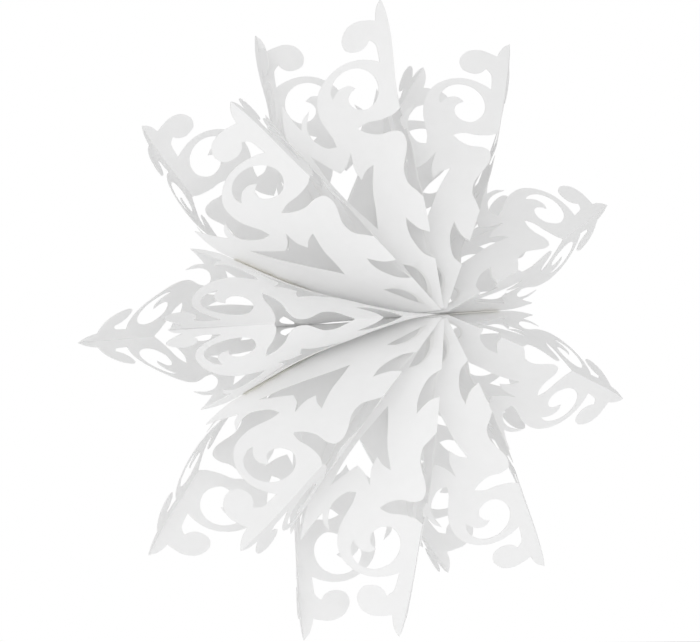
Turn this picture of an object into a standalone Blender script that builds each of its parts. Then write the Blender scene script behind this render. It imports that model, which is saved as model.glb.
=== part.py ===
"""Paper snowflake star: nine die-cut paper bags fanned round a hub axis.

Each bag is one folded sheet. It opens into a four-sided tube with a fold at the front, a fold at
the back and a crease down the middle of each side. Neighbouring bags are glued along those middle
creases, and the last seam is closed with a strip of double-sided tape.

Metres. The hub axis is the world Y axis, the front faces -Y and +Z is up.
"""
import math

import bmesh
import bpy
from mathutils import Vector

# Overall sizes
BAG_COUNT = 9
TIP_RADIUS = 0.200          # hub axis to the tip of a bag's fold
PANEL_WIDTH = 0.069         # fold to middle crease, half the width of a flat bag
HUB_RADIUS = 0.004          # hub axis to the inner end of a bag
GLUE_RADIUS = 0.124         # hub axis to the outer end of a glued crease

# Sheet, glue and clearances
CARD_THICKNESS = 0.0004
GLUE_THICKNESS = 0.0002
GLUE_WIDTH = 0.006
TAPE_WIDTH = 0.010
GLUE_INSET = 0.006          # bare crease left at each end of a glue line
CLEARANCE = 0.0003          # air left between two separate pieces

# The star is fanned by hand, so each bag stands a little off its even place. Bags run clockwise
# from the top one, as seen from the front.
FIRST_BAG_DEG = 102.3
BAG_OFFSET_DEG = (-1.6, -0.6, 0.4, 1.2, 0.5, 0.2, 0.9, 0.6, -1.7)
TIP_HALF_WIDTH = (0.0307, 0.0533, 0.0509, 0.0500, 0.0505, 0.0502, 0.0496, 0.0502, 0.0475)
TIP_FLARE = -0.05           # slope of a fold at its tip, hub axis direction over radius
TAPED_SEAM = 5              # this bag and the next one are joined by the tape

# Mesh fineness
CURVE_STEPS = 1             # straight pieces for each span of a cut curve
ROW_COUNT = 5               # rows of facets along the length of a bag

# The die-cut pattern of one side panel. Across: 0 is the fold, 1 the middle crease. Along: 0 is
# the hub axis, 1 the tip. Each run is a smooth curve, and runs meet at sharp corners.
PATTERN_WIDTH = 69.0
PATTERN_LENGTH = 200.0

FOLD_CUTS = (
    # tulip opening across the fold
    ((0, 35), (11, 46), (13, 64)),
    ((13, 64), (0, 52)),
    ((0, 52), (0, 74.3)),
    # long opening beside the shoulder, then the slit under the scroll
    ((0, 74.3), (7.2, 89), (1.7, 108), (5, 117.8), (15, 118.4), (26.5, 125.4)),
    ((26.5, 125.4), (13, 127.2), (0, 131)),
    ((0, 131), (0, 200)),
)
OUTER_EDGE = (
    # pointed tip and the round drop beside it
    ((0, 200), (5.4, 194.4), (7.5, 188.4)),
    ((7.5, 188.4), (19.5, 191.6), (30, 187), (29.4, 177), (20, 172.8), (13.4, 178)),
    ((13.4, 178), (8.2, 162.6)),
    # scroll, and the notch between it and the leaf on the crease
    ((8.2, 162.6), (22, 168), (37, 165.4), (47, 152), (46, 136), (42, 117.6)),
    ((42, 117.6), (51.6, 122), (55.4, 133), (52.6, 145)),
    ((52.6, 145), (59, 134)),
    ((59, 134), (69, 154)),
)
SCROLL_HOLE = (
    ((37.8, 147.6), (36, 159.6), (24, 163.6), (11.6, 154.6), (12.4, 139.4), (24, 137), (28.4, 144.6),
     (23.6, 150.8)),
    ((23.6, 150.8), (32.6, 153.6), (37.8, 147.6)),
)
THREE_LOBE_HOLE = (
    ((33.4, 59.6), (24, 101)),
    ((24, 101), (34, 93.4)),
    ((34, 93.4), (35, 112)),
    ((35, 112), (45.4, 100.4)),
    ((45.4, 100.4), (59, 116)),
    ((59, 116), (46.6, 80), (33.4, 59.6)),
)
HUB_LEAF_HOLE = (
    ((8, 10.6), (19, 22.4), (23.5, 32.5)),
    ((23.5, 32.5), (12, 24), (8, 10.6)),
)

PAPER_COLOR = (0.90, 0.90, 0.89, 1.0)
GLUE_COLOR = (0.86, 0.85, 0.80, 1.0)
TAPE_COLOR = (0.88, 0.88, 0.86, 1.0)


def clear_scene():
    for item in list(bpy.data.objects):
        bpy.data.objects.remove(item, do_unlink=True)


def make_material(name, color, roughness):
    material = bpy.data.materials.new(name)
    material.use_nodes = True
    shader = material.node_tree.nodes["Principled BSDF"]
    shader.inputs["Base Color"].default_value = color
    shader.inputs["Roughness"].default_value = roughness
    shader.inputs["Metallic"].default_value = 0.0
    return material


# Flat pattern

def smooth_run(points):
    """Points along a Catmull-Rom curve through a run of the pattern, without its last point."""
    if len(points) == 2:
        return [points[0]]
    knots = [Vector(point) for point in points]
    knots.insert(0, 2 * knots[0] - knots[1])
    knots.append(2 * knots[-1] - knots[-2])
    curve = []
    for before, start, end, after in zip(knots, knots[1:], knots[2:], knots[3:]):
        for step in range(CURVE_STEPS):
            t = step / CURVE_STEPS
            curve.append(0.5 * (2 * start + (end - before) * t
                                + (2 * before - 5 * start + 4 * end - after) * t ** 2
                                + (3 * start - before - 3 * end + after) * t ** 3))
    return curve


def pattern_outline(runs):
    """A closed outline as (share of panel width, share of length) pairs."""
    outline = []
    for run in runs:
        outline.extend(smooth_run(run))
    return [Vector((x / PATTERN_WIDTH, y / PATTERN_LENGTH)) for x, y in outline]


def panel_outlines():
    hub = HUB_RADIUS / TIP_RADIUS * PATTERN_LENGTH
    to_hub = ((PATTERN_WIDTH, 154), (PATTERN_WIDTH, hub)), ((PATTERN_WIDTH, hub), (0, hub)), \
        ((0, hub), (0, 35))
    return [pattern_outline(runs) for runs in
            (FOLD_CUTS + OUTER_EDGE + to_hub, SCROLL_HOLE, THREE_LOBE_HOLE, HUB_LEAF_HOLE)]


def flat_panel():
    """The flat side panel as a mesh, x across and y along, cut out of a filled curve."""
    curve = bpy.data.curves.new("panel_pattern", "CURVE")
    curve.dimensions = "2D"
    curve.fill_mode = "BOTH"
    for outline in panel_outlines():
        spline = curve.splines.new("POLY")
        spline.points.add(len(outline) - 1)
        for spline_point, point in zip(spline.points, outline):
            spline_point.co = (point.x, point.y, 0.0, 1.0)
        spline.use_cyclic_u = True
    pattern = bpy.data.objects.new("panel_pattern", curve)
    bpy.context.collection.objects.link(pattern)
    mesh = bpy.data.meshes.new_from_object(pattern)
    bpy.data.objects.remove(pattern)

    panel = bmesh.new()
    panel.from_mesh(mesh)
    bpy.data.meshes.remove(mesh)
    bmesh.ops.remove_doubles(panel, verts=panel.verts, dist=1e-5)
    for row in range(1, ROW_COUNT):
        height = row / ROW_COUNT
        bmesh.ops.bisect_plane(panel, geom=panel.verts[:] + panel.edges[:] + panel.faces[:],
                               dist=1e-4, plane_co=(0, height, 0), plane_no=(0, 1, 0))
    bmesh.ops.triangulate(panel, faces=panel.faces)
    panel.normal_update()
    bmesh.ops.reverse_faces(panel, faces=[face for face in panel.faces if face.normal.z < 0])
    return panel


def flat_bag(panel):
    """Four panels side by side: front fold at 0 and 4, back fold at 2, creases at 1 and 3."""
    bag = panel.copy()
    for fold_line in (1.0, 2.0):
        mirrored = bmesh.ops.duplicate(bag, geom=bag.verts[:] + bag.edges[:] + bag.faces[:])
        copies = [item for item in mirrored["geom"] if isinstance(item, bmesh.types.BMVert)]
        faces = [item for item in mirrored["geom"] if isinstance(item, bmesh.types.BMFace)]
        for vertex in copies:
            vertex.co.x = 2 * fold_line - vertex.co.x
        bmesh.ops.reverse_faces(bag, faces=faces)
        bmesh.ops.remove_doubles(bag, verts=bag.verts, dist=1e-5)
    return bag


# Folded shape

def bag_angle(index):
    """Direction of a bag's folds, in radians from +X towards +Z. Bag 1 is the top one."""
    index = (index - 1) % BAG_COUNT
    step = 360.0 / BAG_COUNT
    return math.radians(FIRST_BAG_DEG - step * index + BAG_OFFSET_DEG[index])


def half_angle(index, side):
    """Half of the angle from a bag's folds to its neighbour's, clockwise side is +1."""
    turn = side * (bag_angle(index) - bag_angle(index + side))
    return (turn % (2 * math.pi)) / 2


def fold_reach(radius, opening, tip_half_width):
    """Distance of a fold from the star's middle plane. The sheet doesn't stretch, so where the
    creases are glued it follows from their spacing. Past the glue it runs smoothly to the tip."""
    def glued(at):
        return math.sqrt(PANEL_WIDTH ** 2 - (2 * at * math.sin(opening / 2)) ** 2)

    if radius <= GLUE_RADIUS:
        return glued(radius)
    reach = glued(GLUE_RADIUS)
    tip_retreat = TIP_RADIUS * (1 - math.cos(opening))
    tip_reach = math.sqrt(PANEL_WIDTH ** 2 - tip_half_width ** 2 - tip_retreat ** 2)
    slope = -4 * GLUE_RADIUS * math.sin(opening / 2) ** 2 / reach
    span = TIP_RADIUS - GLUE_RADIUS
    t = (radius - GLUE_RADIUS) / span
    return ((2 * t ** 3 - 3 * t ** 2 + 1) * reach + (t ** 3 - 2 * t ** 2 + t) * span * slope
            + (3 * t ** 2 - 2 * t ** 3) * tip_reach + (t ** 3 - t ** 2) * span * TIP_FLARE)


def crease_offset(radius, opening, reach):
    """Sideways distance from a bag's middle to its crease."""
    if radius <= GLUE_RADIUS:
        return radius * math.sin(opening)
    retreat = radius * (1 - math.cos(opening))
    return math.sqrt(PANEL_WIDTH ** 2 - reach ** 2 - retreat ** 2)


def bag_point(index, across, radius, inner):
    """A point of a bag's wall: across runs 0 to 4 round the tube, inner is the inside face."""
    opening = (half_angle(index, 1) + half_angle(index, -1)) / 2
    reach = fold_reach(radius, opening, TIP_HALF_WIDTH[(index - 1) % BAG_COUNT])
    setback = (GLUE_THICKNESS / 2 + CLEARANCE) / math.cos(opening)
    crease = crease_offset(radius, opening, reach)
    inscribed = (crease - setback) * reach / math.hypot(crease - setback, reach)
    shrink = 1 - CARD_THICKNESS / inscribed if inner else 1.0

    side = 1 if across < 2 else -1
    own = half_angle(index, side)
    sideways = crease * math.sin(own) / math.sin(opening) - setback
    to_crease = 1 - abs(across % 2 - 1)
    front = 1 if across < 1 or across > 3 else -1
    along = radius * (1 - to_crease * (1 - math.cos(own)))
    tangent = side * to_crease * sideways * shrink
    depth = front * (1 - to_crease) * reach * shrink

    angle = bag_angle(index)
    return Vector((along * math.cos(angle) + tangent * math.sin(angle), -depth,
                   along * math.sin(angle) - tangent * math.cos(angle)))


def link_mesh(name, form, material):
    mesh = bpy.data.meshes.new(name)
    form.to_mesh(mesh)
    form.free()
    mesh.materials.append(material)
    piece = bpy.data.objects.new(name, mesh)
    bpy.context.collection.objects.link(piece)
    return piece


def make_bag(index, flat, material):
    """Give the flat bag its two faces, wrap it round and close the tube at the front fold."""
    bag = flat.copy()
    copied = bmesh.ops.duplicate(bag, geom=bag.verts[:] + bag.edges[:] + bag.faces[:])["geom"]
    inside_faces = [item for item in copied if isinstance(item, bmesh.types.BMFace)]
    inside = {tuple(item.co): item for item in copied if isinstance(item, bmesh.types.BMVert)}
    inside_verts = set(inside.values())
    bmesh.ops.reverse_faces(bag, faces=inside_faces)

    for edge in [edge for edge in bag.edges if edge.is_boundary]:
        first, second = edge.verts
        on_front_fold = all(vertex.co.x in (0.0, 4.0) for vertex in edge.verts)
        if first in inside_verts or on_front_fold:
            continue
        loop = edge.link_loops[0]
        start, end = loop.vert, loop.link_loop_next.vert
        bag.faces.new((end, start, inside[tuple(start.co)], inside[tuple(end.co)]))

    for vertex in bag.verts:
        vertex.co = bag_point(index, vertex.co.x, vertex.co.y * TIP_RADIUS, vertex in inside_verts)
    bmesh.ops.remove_doubles(bag, verts=bag.verts, dist=1e-6)
    bmesh.ops.triangulate(bag, faces=bag.faces)
    return link_mesh(f"paper_bag_{index}", bag, material)


def make_strip(name, index, width, material):
    """A thin strip between the middle creases of a bag and the next one clockwise."""
    angle = bag_angle(index) - half_angle(index, 1)
    start = HUB_RADIUS + GLUE_INSET
    end = GLUE_RADIUS - GLUE_INSET
    strip = bmesh.new()
    bmesh.ops.create_cube(strip, size=1.0)
    for vertex in strip.verts:
        along = (start + end) / 2 + vertex.co.x * (end - start)
        tangent = vertex.co.y * GLUE_THICKNESS
        vertex.co = Vector((along * math.cos(angle) + tangent * math.sin(angle),
                            vertex.co.z * width,
                            along * math.sin(angle) - tangent * math.cos(angle)))
    return link_mesh(name, strip, material)


def main():
    clear_scene()
    paper = make_material("white_paper", PAPER_COLOR, 0.85)
    glue = make_material("dry_glue", GLUE_COLOR, 0.5)
    tape = make_material("double_sided_tape", TAPE_COLOR, 0.6)
    panel = flat_panel()
    flat = flat_bag(panel)
    for index in range(1, BAG_COUNT + 1):
        make_bag(index, flat, paper)
        following = index % BAG_COUNT + 1
        if index == TAPED_SEAM:
            make_strip("closing_tape", index, TAPE_WIDTH, tape)
        else:
            make_strip(f"glue_line_{index}_{following}", index, GLUE_WIDTH, glue)
    panel.free()
    flat.free()


main()
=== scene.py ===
import math

import bmesh
import bpy
from mathutils import Matrix, Vector, noise


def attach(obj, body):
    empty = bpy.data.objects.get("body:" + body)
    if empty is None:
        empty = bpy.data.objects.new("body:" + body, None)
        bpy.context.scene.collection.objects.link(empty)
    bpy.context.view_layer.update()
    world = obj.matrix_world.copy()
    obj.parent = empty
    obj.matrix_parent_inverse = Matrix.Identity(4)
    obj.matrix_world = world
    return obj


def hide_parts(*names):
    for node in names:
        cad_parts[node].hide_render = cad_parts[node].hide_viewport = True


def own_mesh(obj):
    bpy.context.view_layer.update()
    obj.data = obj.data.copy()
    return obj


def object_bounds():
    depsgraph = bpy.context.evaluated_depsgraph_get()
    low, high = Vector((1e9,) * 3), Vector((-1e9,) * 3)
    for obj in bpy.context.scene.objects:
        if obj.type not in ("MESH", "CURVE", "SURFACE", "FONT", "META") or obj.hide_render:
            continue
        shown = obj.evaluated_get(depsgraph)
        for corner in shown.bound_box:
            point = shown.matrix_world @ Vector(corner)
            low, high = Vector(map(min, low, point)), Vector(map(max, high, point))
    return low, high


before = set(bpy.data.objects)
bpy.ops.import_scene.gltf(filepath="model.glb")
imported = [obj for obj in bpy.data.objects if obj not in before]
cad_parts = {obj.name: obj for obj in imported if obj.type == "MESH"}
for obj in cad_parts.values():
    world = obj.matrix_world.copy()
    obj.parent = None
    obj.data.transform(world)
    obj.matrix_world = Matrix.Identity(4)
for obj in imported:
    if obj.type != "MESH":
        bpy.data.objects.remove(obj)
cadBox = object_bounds()

# The folded star, in metres. The hub axis is the world Y axis and the front faces -Y. Bags run
# clockwise from the top one, seen from the front.
star = {
    "bags": 9,
    "tipRadius": 0.200,        # hub axis to the tip of a fold
    "panelWidth": 0.069,       # fold to middle crease
    "hubRadius": 0.0035,       # hub axis to the inner end of a bag
    "glueRadius": 0.124,       # hub axis to the outer end of a glued crease
    "thickness": 0.00034,      # of the card
    "seamGap": 0.00022,        # crease to the middle of its glue line
    "firstAngle": 102.3,       # degrees from +X towards +Z
    "angleOffsets": (-1.6, -0.6, 0.4, 1.2, 0.5, 0.2, 0.9, 0.6, -1.7),
    "tipHalfWidths": (0.0307, 0.0533, 0.0509, 0.0500, 0.0505, 0.0502, 0.0496, 0.0502, 0.0475),
    "tipFlare": -0.05,         # slope of a fold at its tip
    "foldBulge": 0.008,        # how far handled folds stand out halfway along
    # how far the front and the back tip of each bag lean over, in mm along +X and +Z
    "leanUnit": 0.001,
    "frontLean": ((0, -1), (1, 4), (-2, -1), (-2, 1), (-2, 4), (-1, -1), (-7, -2), (-1, 1), (4, -1)),
    "backLean": ((0, -7), (3, 0), (1, -3), (1, -3), (-2, -2), (0, -7), (-4, -6), (1, -2), (12, -4)),
    # how far the front and the back drops curl in, in degrees
    "tipCurl": ((0, 0), (0, 0), (0, 0), (0, 0), (0, 0), (0, 0), (0, 0), (32, 17), (0, 0)),
    "curlStart": 0.118,        # hub axis to where a panel begins to curl
    "curlWidth": 0.7,          # share of a panel, from its fold, that is free to curl
    "tapedSeam": 5,            # this bag and the next are joined by the tape
    "foldJoint": "fan_1_2",    # the joint that every other one follows
    "flatShare": 0.05,         # of a bag's width, left when the fan is shut
    "sharpAngle": 28.0,        # degrees, above which an edge is shaded as a fold
    "mergeGap": 2e-6,
}


# Shader maths, written as expressions on sockets
class Wire:
    def __init__(self, tree, socket):
        self.tree = tree
        self.socket = socket

    def combine(self, operation, first, second):
        node = self.tree.nodes.new("ShaderNodeMath")
        node.operation = operation
        for place, value in enumerate((first, second)):
            if isinstance(value, Wire):
                self.tree.links.new(value.socket, node.inputs[place])
            else:
                node.inputs[place].default_value = value
        return Wire(self.tree, node.outputs[0])

    def __add__(self, other):
        return self.combine("ADD", self, other)

    def __sub__(self, other):
        return self.combine("SUBTRACT", self, other)

    def __mul__(self, other):
        return self.combine("MULTIPLY", self, other)

    def __truediv__(self, other):
        return self.combine("DIVIDE", self, other)

    def __radd__(self, other):
        return self.combine("ADD", other, self)

    def __rsub__(self, other):
        return self.combine("SUBTRACT", other, self)

    def __rmul__(self, other):
        return self.combine("MULTIPLY", other, self)


class Finish:
    def __init__(self, name):
        self.material = bpy.data.materials.new(name)
        self.material.use_nodes = True
        self.tree = self.material.node_tree
        self.shader = self.tree.nodes["Principled BSDF"]

    # One method for any node: its type, its settings, then the values or links of its sockets.
    def node(self, kind, settings=None, output=0, **sockets):
        made = self.tree.nodes.new("ShaderNode" + kind)
        for name, value in (settings or {}).items():
            if name == "stops":
                self.fillRamp(made.color_ramp, value)
            else:
                setattr(made, name, value)
        for name, value in sockets.items():
            self.feed(self.findSocket(made, name), value)
        return Wire(self.tree, made.outputs[output])

    def fillRamp(self, ramp, stops):
        while len(ramp.elements) < len(stops):
            ramp.elements.new(1.0)
        for element, (position, shade) in zip(ramp.elements, stops):
            element.position = position
            element.color = (shade, shade, shade, 1.0)

    def findSocket(self, made, name):
        wanted = name.rstrip("0123456789")
        matches = [socket for socket in made.inputs
                   if socket.name.replace(" ", "") == wanted and socket.enabled]
        return matches[int(name[len(wanted):] or 0)]

    def feed(self, socket, value):
        if isinstance(value, Wire):
            self.tree.links.new(value.socket, socket)
        else:
            socket.default_value = value

    def surface(self, **sockets):
        for name, value in sockets.items():
            self.feed(self.findSocket(self.shader, name), value)
        return self.material


# Card: a smooth white sheet with a faint cloudy formation, a fine felt-side grain and folds that
# have cracked a little along their ridge. It follows the sheet's own flat map, in metres.
paper = {
    "white": (0.94, 0.94, 0.94, 1.0),
    "cloud": (0.922, 0.922, 0.92, 1.0),
    "cloudSize": 0.012,
    "grainSize": 0.00042,
    "waveSize": 0.030,
    "foldWidth": 0.0007,
    "foldShade": (0.88, 0.88, 0.875, 1.0),
    "foldWear": 0.55,          # how strongly a worn fold shows
    "roughness": 0.78,
    "roughnessSpread": 0.08,
    "gloss": 0.35,
    "glowThrough": 0.6,        # light that passes through the card
    "grainHeight": 0.00004,
    "waveHeight": 0.00035,
    "bumpStrength": 0.5,
}


def makePaper(name, look):
    finish = Finish(name)
    sheet = finish.node("UVMap", {"uv_map": "sheet"})
    place = finish.node("TexCoord", output=3)
    cloud = finish.node("TexNoise", Vector=place, Scale=1 / look["cloudSize"], Detail=3.0,
                        Roughness=0.6)
    grain = finish.node("TexNoise", Vector=place, Scale=1 / look["grainSize"], Detail=4.0,
                        Roughness=0.65)
    wave = finish.node("TexNoise", Vector=place, Scale=1 / look["waveSize"], Detail=1.0)

    across = finish.node("SeparateXYZ", Vector=sheet)
    panels = across / star["panelWidth"]
    toFold = finish.node("Math", {"operation": "PINGPONG"}, Value=panels, Value1=0.5)
    ridge = finish.node("ValToRGB", {"stops": ((0.0, 1.0), (1.0, 0.0))},
                        Fac=toFold * (star["panelWidth"] / look["foldWidth"]))
    frayed = ridge * finish.node("ValToRGB", {"stops": ((0.40, 0.15), (0.62, 1.0))}, Fac=grain)

    formation = finish.node("Mix", {"data_type": "RGBA"}, output=2,
                            Factor=finish.node("ValToRGB", {"stops": ((0.35, 0.0), (0.7, 1.0))},
                                               Fac=cloud),
                            A=look["white"], B=look["cloud"])
    color = finish.node("Mix", {"data_type": "RGBA"}, output=2, Factor=frayed * look["foldWear"],
                        A=formation, B=look["foldShade"])
    height = (grain * look["grainHeight"] + wave * look["waveHeight"]
              + frayed * (0.5 * look["grainHeight"]))
    bump = finish.node("Bump", Height=height, Strength=look["bumpStrength"], Distance=1.0)
    rough = look["roughness"] + look["roughnessSpread"] * (grain - 0.5)
    return finish.surface(BaseColor=color, Roughness=rough, Normal=bump,
                          SpecularIORLevel=look["gloss"],
                          SubsurfaceWeight=look["glowThrough"], SubsurfaceScale=star["thickness"],
                          SubsurfaceRadius=(2.0, 2.0, 2.0))


# The raw edge that the die leaves: rougher, with short fibres that mottle it, and painted a little
# darker than the sheet as a shadow along the cut.
cutEdgeAndPaintedShadow = {"white": (0.93, 0.93, 0.925, 1.0), "shade": (0.86, 0.86, 0.85, 1.0),
           "fibreSize": 0.0003, "fibreHeight": 0.00005, "roughness": 0.9}


def makeCutEdgeWithPaintedShadow(name, look):
    finish = Finish(name)
    place = finish.node("TexCoord", output=3)
    fibre = finish.node("TexNoise", Vector=place, Scale=1 / look["fibreSize"], Detail=3.0)
    # painted shadow: the rim's colour is mixed from two tones darker than the sheet, so the cut edge
    # reads as shaded; the fibre noise mottles it
    color = finish.node("Mix", {"data_type": "RGBA"}, output=2, Factor=fibre, A=look["white"],
                        B=look["shade"])
    bump = finish.node("Bump", Height=fibre * look["fibreHeight"], Strength=0.6, Distance=1.0)
    return finish.surface(BaseColor=color, Roughness=look["roughness"], Normal=bump)


# Dried craft glue: milky, a little glossy, thicker and thinner along the line.
driedGlue = {"milk": (0.88, 0.87, 0.83, 1.0), "clear": (0.80, 0.79, 0.74, 1.0), "patch": 0.004,
             "patchHeight": 0.0002, "roughness": 0.35, "roughnessSpread": 0.3}


def makeGlue(name, look):
    finish = Finish(name)
    place = finish.node("TexCoord", output=3)
    patch = finish.node("TexNoise", Vector=place, Scale=1 / look["patch"], Detail=2.0)
    color = finish.node("Mix", {"data_type": "RGBA"}, output=2, Factor=patch, A=look["milk"],
                        B=look["clear"])
    bump = finish.node("Bump", Height=patch * look["patchHeight"], Strength=0.5, Distance=1.0)
    rough = look["roughness"] + look["roughnessSpread"] * patch
    return finish.surface(BaseColor=color, Roughness=rough, Normal=bump)


# Double-sided tape: a thin tissue carrier with a fine net of adhesive.
tapeLook = {"tissue": (0.90, 0.90, 0.88, 1.0), "gum": (0.82, 0.82, 0.79, 1.0), "cell": 0.0016,
            "gumShare": 0.6, "gumHeight": 0.00005, "roughness": 0.5, "roughnessSpread": 0.2}


def makeTape(name, look):
    finish = Finish(name)
    place = finish.node("TexCoord", output=3)
    net = finish.node("TexVoronoi", {"feature": "DISTANCE_TO_EDGE"}, Vector=place,
                      Scale=1 / look["cell"])
    lines = finish.node("ValToRGB", {"stops": ((0.0, 1.0), (0.12, 0.0))}, Fac=net)
    color = finish.node("Mix", {"data_type": "RGBA"}, output=2, Factor=lines * look["gumShare"],
                        A=look["tissue"], B=look["gum"])
    bump = finish.node("Bump", Height=lines * look["gumHeight"], Strength=0.4, Distance=1.0)
    rough = look["roughness"] + look["roughnessSpread"] * lines
    return finish.surface(BaseColor=color, Roughness=rough, Normal=bump)


# The die that cuts one side panel, in millimetres: from the fold across to the middle crease, and
# from the hub axis along to the tip. A run is a smooth curve, and runs meet at sharp corners.
die = {
    "unit": 0.001,
    "curveSteps": 7,
    "rowHeight": 0.0045,
    "columns": 9,
    "mergeGap": 1e-6,
    "snap": 1e-5,              # points this near to a fold or crease lie on it
    "cutGap": 2e-5,
    "foldCuts": (
        # tulip opening across the fold
        ((0, 35), (7, 40), (11.4, 48), (13.4, 56), (13, 64)),
        ((13, 64), (9.6, 59.4), (5.4, 55), (0, 52)),
        ((0, 52), (0, 74.3)),
        # long opening beside the shoulder, then the slit under the scroll
        ((0, 74.3), (2.6, 78.6), (6.8, 85), (7.2, 94), (3, 105), (1.7, 111), (3, 116.5), (8, 118.6),
         (15, 118.4), (21.5, 121), (26.5, 125.4)),
        ((26.5, 125.4), (20, 127.6), (12, 127.2), (4.5, 128.4), (0, 131)),
        ((0, 131), (0, 200)),
    ),
    "outerEdge": (
        # pointed tip and the round drop beside it
        ((0, 200), (3.6, 197), (6, 193.2), (7.5, 188.4)),
        ((7.5, 188.4), (12.5, 190.2), (19.5, 191.6), (27, 189.4), (31, 182.6), (28.4, 175.6),
         (21.5, 173), (16.4, 174.4), (13.4, 178)),
        ((13.4, 178), (9.8, 174), (8.8, 168.6), (8.2, 162.6)),
        # scroll, and the notch between it and the leaf on the crease
        ((8.2, 162.6), (14, 165.6), (22, 168), (31, 167.8), (39.6, 163.8), (45.6, 156.4),
         (47.4, 147.6), (46.6, 138), (44.2, 130), (42.4, 124), (42, 117.6)),
        ((42, 117.6), (47.4, 118.4), (51.6, 122.4), (54.8, 128.4), (55.2, 136), (52.6, 145)),
        ((52.6, 145), (57, 140.6), (59, 134)),
        ((59, 134), (62, 139.6), (65.4, 146.4), (69, 154)),
    ),
    "holes": (
        # scroll
        (((37.8, 147.6), (38.8, 152.8), (36, 159.6), (29.5, 163.4), (21, 162.6), (13.6, 157),
          (10.2, 149), (11.2, 141.4), (16.6, 136.2), (22.6, 136.8), (26.9, 140.2), (28.4, 144.6),
          (27, 148.4), (23.6, 150.8)),
         ((23.6, 150.8), (27.6, 153.6), (32.6, 153.2), (35.8, 150.6), (37.8, 147.6))),
        # three-lobe leaf
        (((33.4, 59.6), (31, 72), (29, 85), (24, 101)),
         ((24, 101), (29.6, 98.2), (34, 93.4)),
         ((34, 93.4), (36, 101), (35, 112)),
         ((35, 112), (39.6, 105), (45.4, 100.4)),
         ((45.4, 100.4), (51.4, 106.4), (59, 116)),
         ((59, 116), (54.6, 98), (46.6, 80), (33.4, 59.6))),
        # leaf at the hub
        (((7.4, 11), (13.6, 16.6), (17.6, 23), (20.8, 28.8), (23.4, 34.6)),
         ((23.4, 34.6), (15.9, 32.2), (10.1, 27), (7, 19.6), (7.4, 11))),
    ),
}


# A closed cut line: each run bends smoothly through its points and stops sharp at its ends.
def addCut(curve, runs):
    knots = []
    for run in runs:
        points = [Vector((x, y, 0.0)) * die["unit"] for x, y in run]
        for place, point in enumerate(points):
            before = points[max(place - 1, 0)]
            after = points[min(place + 1, len(points) - 1)]
            reach = (after - before) / (6 if 0 < place < len(points) - 1 else 3)
            if place == 0 and knots:
                knots[-1][2] = point + reach
            else:
                knots.append([point - reach, point, point + reach])
    knots[0][0] = knots.pop()[0]
    spline = curve.splines.new("BEZIER")
    spline.bezier_points.add(len(knots) - 1)
    for knot, (left, point, right) in zip(spline.bezier_points, knots):
        knot.handle_left_type = "FREE"
        knot.handle_right_type = "FREE"
        knot.handle_left = left
        knot.co = point
        knot.handle_right = right
    spline.use_cyclic_u = True


# One side panel, cut flat, with enough rows and columns to bend.
def cutPanel():
    width = star["panelWidth"] / die["unit"]
    hub = star["hubRadius"] / die["unit"]
    hubEnd = (((width, 154), (width, hub)), ((width, hub), (0, hub)), ((0, hub), (0, 35)))
    curve = bpy.data.curves.new("dieLines", "CURVE")
    curve.dimensions = "2D"
    curve.fill_mode = "BOTH"
    curve.resolution_u = die["curveSteps"]
    for runs in (die["foldCuts"] + die["outerEdge"] + hubEnd,) + die["holes"]:
        addCut(curve, runs)
    cutter = bpy.data.objects.new("dieLines", curve)
    bpy.context.collection.objects.link(cutter)
    flat = bpy.data.meshes.new_from_object(cutter)
    bpy.data.objects.remove(cutter)

    panel = bmesh.new()
    panel.from_mesh(flat)
    bpy.data.meshes.remove(flat)
    bmesh.ops.remove_doubles(panel, verts=panel.verts, dist=die["mergeGap"])
    bmesh.ops.dissolve_limit(panel, angle_limit=0.001, verts=[], edges=panel.edges)
    rows = round(star["tipRadius"] / die["rowHeight"])
    lines = [((0, star["tipRadius"] * row / rows, 0), (0, 1, 0)) for row in range(1, rows)]
    lines += [((star["panelWidth"] * column / die["columns"], 0, 0), (1, 0, 0))
              for column in range(1, die["columns"])]
    for place, normal in lines:
        bmesh.ops.bisect_plane(panel, geom=panel.verts[:] + panel.edges[:] + panel.faces[:],
                               dist=die["cutGap"], plane_co=place, plane_no=normal)
    bmesh.ops.triangulate(panel, faces=panel.faces)
    panel.normal_update()
    bmesh.ops.reverse_faces(panel, faces=[face for face in panel.faces if face.normal.z < 0])
    for vertex in panel.verts:
        if abs(vertex.co.x) < die["snap"]:
            vertex.co.x = 0.0
        if abs(vertex.co.x - star["panelWidth"]) < die["snap"]:
            vertex.co.x = star["panelWidth"]
    return panel


# The whole sheet of a bag, laid flat: four panels, then the card's thickness.
def layOutSheet():
    sheet = cutPanel()
    for foldLine in (1, 2):
        hinge = star["panelWidth"] * foldLine
        copied = bmesh.ops.duplicate(sheet, geom=sheet.verts[:] + sheet.edges[:] + sheet.faces[:])
        corners = [item for item in copied["geom"] if isinstance(item, bmesh.types.BMVert)]
        faces = [item for item in copied["geom"] if isinstance(item, bmesh.types.BMFace)]
        bmesh.ops.scale(sheet, verts=corners, vec=(-1, 1, 1),
                        space=Matrix.Translation((-hinge, 0, 0)))
        bmesh.ops.reverse_faces(sheet, faces=faces)
        bmesh.ops.remove_doubles(sheet, verts=sheet.verts, dist=die["mergeGap"])
    bmesh.ops.solidify(sheet, geom=sheet.faces[:], thickness=1.0)
    lowest = min(vertex.co.z for vertex in sheet.verts)
    bmesh.ops.translate(sheet, verts=sheet.verts, vec=(0, 0, -lowest))
    return sheet


# Direction of a bag's folds, in radians from +X towards +Z.
def bagAngle(number):
    place = (number - 1) % star["bags"]
    return math.radians(star["firstAngle"] - 360 / star["bags"] * place
                        + star["angleOffsets"][place])


# Half of the angle from a bag's folds to its neighbour's. The clockwise side is +1.
def halfAngle(number, side):
    turn = side * (bagAngle(number) - bagAngle(number + side))
    return (turn % (2 * math.pi)) / 2


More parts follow.
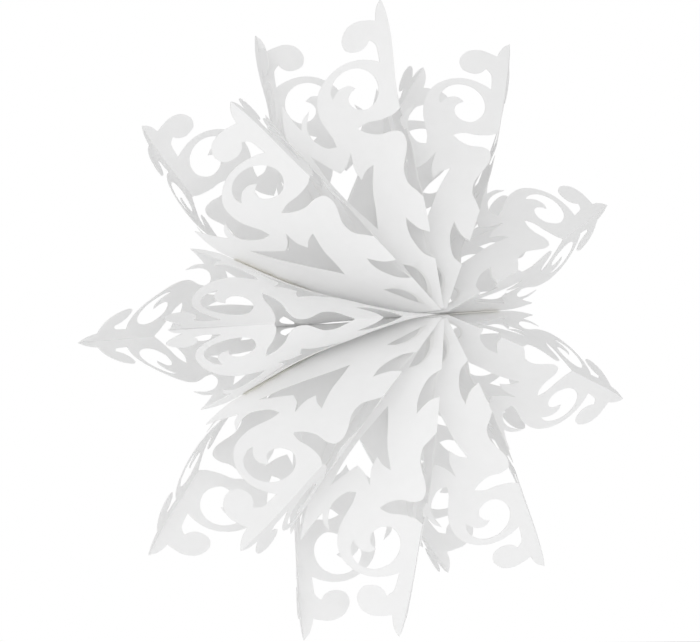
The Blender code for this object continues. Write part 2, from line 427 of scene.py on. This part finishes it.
# Distance of a fold from the star's middle plane. The card doesn't stretch, so it follows from
# the creases' spacing where they are glued, and runs smoothly to the tip past the glue.
def foldReach(radius, opening, tipHalfWidth):
    width, glueEnd, tip = star["panelWidth"], star["glueRadius"], star["tipRadius"]

    def glued(at):
        return math.sqrt(width ** 2 - (2 * at * math.sin(opening / 2)) ** 2)

    if radius <= glueEnd:
        return glued(radius)
    tipRetreat = tip * (1 - math.cos(opening))
    tipReach = math.sqrt(width ** 2 - tipHalfWidth ** 2 - tipRetreat ** 2)
    slope = -4 * glueEnd * math.sin(opening / 2) ** 2 / glued(glueEnd)
    span = tip - glueEnd
    t = (radius - glueEnd) / span
    return ((2 * t ** 3 - 3 * t ** 2 + 1) * glued(glueEnd)
            + (t ** 3 - 2 * t ** 2 + t) * span * slope
            + (3 * t ** 2 - 2 * t ** 3) * tipReach + (t ** 3 - t ** 2) * span * star["tipFlare"])


# Sideways distance from a bag's middle to its crease.
def creaseOffset(radius, opening, reach):
    if radius <= star["glueRadius"]:
        return radius * math.sin(opening)
    retreat = radius * (1 - math.cos(opening))
    return math.sqrt(star["panelWidth"] ** 2 - reach ** 2 - retreat ** 2)


# How far the card stands off its flat panels, as handled card does. It is nothing at folds and
# creases, and the card springs out most beside the folds of the glued part.
handling = {"bow": 0.0009, "spring": 0.0035, "springSkew": 0.7, "springRise": 4.0,
            "springFall": 5.0, "ripple": 0.0007, "rippleSize": 0.045, "rippleAcross": 1.9,
            "seed": 3.7}


def cardBow(number, across, radius):
    share = radius / star["tipRadius"]
    hold = math.sin(math.pi * (1 - abs(across % 2 - 1)) ** handling["springSkew"])
    spring = handling["spring"] * min(handling["springRise"] * share, 1.0,
                                      handling["springFall"] * (1 - share) ** 2)
    spot = Vector((across * handling["rippleAcross"], radius / handling["rippleSize"],
                   number * handling["seed"]))
    return hold * (spring + share * (handling["bow"] + handling["ripple"] * noise.noise(spot)))


# How far a panel has turned in about its fold, in radians, given what it reaches at the tip.
def curlAngle(tipDegrees, radius):
    free = max(0.0, (radius - star["curlStart"]) / (star["tipRadius"] - star["curlStart"]))
    return math.radians(tipDegrees) * free ** 2 * (3 - 2 * free)


# A point of a bag's wall. Across runs 0 to 4 round the tube: front fold, clockwise crease, back
# fold, other crease, front fold. Inward runs 0 to 1 through the card.
def bagPoint(number, across, radius, inward):
    opening = (halfAngle(number, 1) + halfAngle(number, -1)) / 2
    reach = foldReach(radius, opening, star["tipHalfWidths"][(number - 1) % star["bags"]])
    setback = star["seamGap"] / math.cos(opening)
    crease = creaseOffset(radius, opening, reach)
    inscribed = (crease - setback) * reach / math.hypot(crease - setback, reach)
    shrink = 1 - star["thickness"] * inward / inscribed

    side = 1 if across < 2 else -1
    own = halfAngle(number, side)
    sideways = crease * math.sin(own) / math.sin(opening) - setback
    toCrease = 1 - abs(across % 2 - 1)
    front = 1 if across < 1 or across > 3 else -1
    bow = cardBow(number, across, radius)
    share = radius / star["tipRadius"]
    reach += star["foldBulge"] * 4 * share ** 2 * (1 - share ** 2)
    slant = math.hypot(sideways, reach)
    along = radius * (1 - toCrease * (1 - math.cos(own)))
    outwards = toCrease * sideways * shrink + bow * reach / slant
    depth = (1 - toCrease) * reach * shrink + bow * sideways / slant

    place = (number - 1) % star["bags"]
    curl = curlAngle(star["tipCurl"][place][front < 0], radius)
    if curl and toCrease < star["curlWidth"]:
        turn = Matrix.Rotation(-curl, 2)
        outwards, depth = turn @ Vector((outwards, depth - reach)) + Vector((0, reach))
    lean = Vector(star["frontLean" if front > 0 else "backLean"][place])
    lean *= star["leanUnit"] * (1 - toCrease) * share ** 2

    angle = bagAngle(number)
    tangent = side * outwards
    return Vector((along * math.cos(angle) + tangent * math.sin(angle) + lean.x, -front * depth,
                   along * math.sin(angle) - tangent * math.cos(angle) + lean.y))


# Links a finished mesh as a piece that rides on its bag.
def addPiece(name, form, number, node, materials):
    mesh = bpy.data.meshes.new(name)
    form.to_mesh(mesh)
    form.free()
    for material in materials:
        mesh.materials.append(material)
    mesh.shade_smooth()
    mesh.set_sharp_from_angle(angle=math.radians(star["sharpAngle"]))
    piece = bpy.data.objects.new(name, mesh)
    bpy.context.collection.objects.link(piece)
    angle = bagAngle(number)
    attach(piece, f"bag_{number}")
    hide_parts(node)
    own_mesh(piece)
    return piece


# Wraps the flat sheet round into a bag and closes it at the front fold.
def foldBag(number, sheet, materials):
    bag = sheet.copy()
    width = star["panelWidth"]
    flatMap = bag.loops.layers.uv.new("sheet")
    for face in bag.faces:
        inwards = {round(vertex.co.z) for vertex in face.verts}
        face.material_index = 1 if len(inwards) == 2 else 0
        for loop in face.loops:
            loop[flatMap].uv = loop.vert.co.xy
    ends = [face for face in bag.faces if face.material_index == 1
            and all(vertex.co.x < 1e-6 or vertex.co.x > 4 * width - 1e-6 for vertex in face.verts)]
    bmesh.ops.delete(bag, geom=ends, context="FACES_ONLY")
    for vertex in bag.verts:
        vertex.co = bagPoint(number, vertex.co.x / width, vertex.co.y, vertex.co.z)
    bmesh.ops.remove_doubles(bag, verts=bag.verts, dist=star["mergeGap"])
    return addPiece(f"foldedBag{number}", bag, number, f"paper_bag_{number}",
                    materials)


# The glue lines and the closing tape, between the creases of two bags
joins = {
    "glueWidth": 0.006,
    "tapeWidth": 0.010,
    "inset": 0.006,             # bare crease left at each end
    "thickness": 0.0002,
    "waviness": 0.0012,
    "segments": 48,
    "carriers": ((6, 7), (7, 8), (8, 9), (9, 1)),   # these seams ride on their second bag
}


def layStrip(name, number, carrier, node, width, waviness, material):
    angle = bagAngle(number) - halfAngle(number, 1)
    start = star["hubRadius"] + joins["inset"]
    length = star["glueRadius"] - joins["inset"] - start
    strip = bmesh.new()
    bmesh.ops.create_grid(strip, x_segments=joins["segments"], y_segments=4, size=0.5)
    bmesh.ops.solidify(strip, geom=strip.faces[:], thickness=joins["thickness"])
    middle = sum(vertex.co.z for vertex in strip.verts) / len(strip.verts)
    for vertex in strip.verts:
        x, y, z = vertex.co
        ragged = waviness * noise.noise(Vector((x * 14, math.copysign(3, y), number)))
        radius = start + (x + 0.5) * length
        tangent = z - middle
        vertex.co = Vector((radius * math.cos(angle) + tangent * math.sin(angle),
                            y * (width + 2 * ragged),
                            radius * math.sin(angle) - tangent * math.cos(angle)))
    return addPiece(name, strip, carrier, node, [material])


# Makes the pieces
whiteCard = makePaper("whiteCard", paper)
rawEdgePaintedShadow = makeCutEdgeWithPaintedShadow("rawEdgePaintedShadow", cutEdgeAndPaintedShadow)
glueFinish = makeGlue("driedGlue", driedGlue)
tapeFinish = makeTape("tapeTissue", tapeLook)
flatSheet = layOutSheet()
print("sheet cut:", len(flatSheet.faces), "faces")

for number in range(1, star["bags"] + 1):
    foldBag(number, flatSheet, [whiteCard, rawEdgePaintedShadow])
flatSheet.free()
print("bags folded")

carriers = dict(joins["carriers"])
for number in range(1, star["bags"] + 1):
    following = number % star["bags"] + 1
    if number == star["tapedSeam"]:
        layStrip("closingTape", number, number, "closing_tape",
                 joins["tapeWidth"], 0.0, tapeFinish)
    else:
        layStrip(f"glueLine{number}{following}", number, carriers.get(number, number),
                 f"glue_line_{number}_{following}", joins["glueWidth"],
                 joins["waviness"], glueFinish)
print("glue lines and closing tape laid")

# The studio: a pale round floor, soft light from all round and a large lamp near the camera.
studio = {
    "floorDrop": 0.10,          # floor below the star's lowest tip
    "floorSize": 2.0,
    "floorSegments": 96,
    "floorShade": (0.93, 0.93, 0.93, 1.0),
    "floorGlow": 0.16,
    "skyStrength": 0.67,
    "backdropStrength": 1.0,    # what the camera sees behind the star
    "bounces": 16,              # light goes on bouncing between white walls
    "lamps": (
        # name, place, size, power
        ("keyLamp", (-1.7, -1.1, 0.7), 1.6, 3.0),
        ("frontLamp", (-1.9, -2.1, 0.1), 1.8, 13.0),
    ),
    "cameraAzimuth": -42.41,    # degrees, from the star's front towards its right
    "cameraHeight": -2.484,
    "cameraRoll": -2.05,
    "cameraPlace": (-1.0875, -1.1716, -0.0697),
    "lens": 127.8,
    "sensor": 36.0,
}


def layFloor():
    low = cadBox[0].z - studio["floorDrop"]
    form = bmesh.new()
    bmesh.ops.create_circle(form, cap_ends=True, segments=studio["floorSegments"],
                            radius=studio["floorSize"] / 2)
    bmesh.ops.translate(form, verts=form.verts, vec=(0, 0, low))
    mesh = bpy.data.meshes.new("studioFloor")
    form.to_mesh(mesh)
    form.free()
    finish = Finish("paleFloor")
    place = finish.node("TexCoord", output=3)
    haze = finish.node("TexNoise", Vector=place, Scale=2.0, Detail=2.0)
    mesh.materials.append(finish.surface(BaseColor=studio["floorShade"],
                                         Roughness=0.8 + 0.1 * haze,
                                         EmissionColor=(1.0, 1.0, 1.0, 1.0),
                                         EmissionStrength=studio["floorGlow"]))
    floor = bpy.data.objects.new("studioFloor", mesh)
    bpy.context.collection.objects.link(floor)


def hangLamps():
    for name, place, size, power in studio["lamps"]:
        light = bpy.data.lights.new(name, "AREA")
        light.shape = "DISK"
        light.size = size
        light.energy = power
        lamp = bpy.data.objects.new(name, light)
        lamp.location = place
        lamp.rotation_euler = (-Vector(place)).to_track_quat("-Z", "Y").to_euler()
        bpy.context.collection.objects.link(lamp)
    sky = bpy.data.worlds.new("softBox")
    sky.use_nodes = True
    tree = sky.node_tree
    tree.nodes["Background"].inputs["Color"].default_value = (1.0, 1.0, 1.0, 1.0)
    seen = Wire(tree, tree.nodes.new("ShaderNodeLightPath").outputs["Is Camera Ray"])
    strength = studio["skyStrength"] + (studio["backdropStrength"] - studio["skyStrength"]) * seen
    tree.links.new(strength.socket, tree.nodes["Background"].inputs["Strength"])
    scene = bpy.context.scene
    scene.world = sky
    scene.view_settings.view_transform = "Standard"
    scene.cycles.max_bounces = studio["bounces"]
    scene.cycles.diffuse_bounces = studio["bounces"]


def placeCamera():
    azimuth = math.radians(studio["cameraAzimuth"])
    height = math.radians(studio["cameraHeight"])
    back = Vector((math.sin(azimuth) * math.cos(height), -math.cos(azimuth) * math.cos(height),
                   math.sin(height)))
    data = bpy.data.cameras.new("camera")
    data.lens = studio["lens"]
    data.sensor_width = studio["sensor"]
    camera = bpy.data.objects.new("camera", data)
    level = (-back).to_track_quat("-Z", "Y").to_matrix()
    roll = Matrix.Rotation(math.radians(studio["cameraRoll"]), 3, "Z")
    camera.matrix_world = (level @ roll).to_4x4()
    camera.location = studio["cameraPlace"]
    bpy.context.collection.objects.link(camera)
    bpy.context.scene.camera = camera


layFloor()
hangLamps()
placeCamera()
print("studio set")
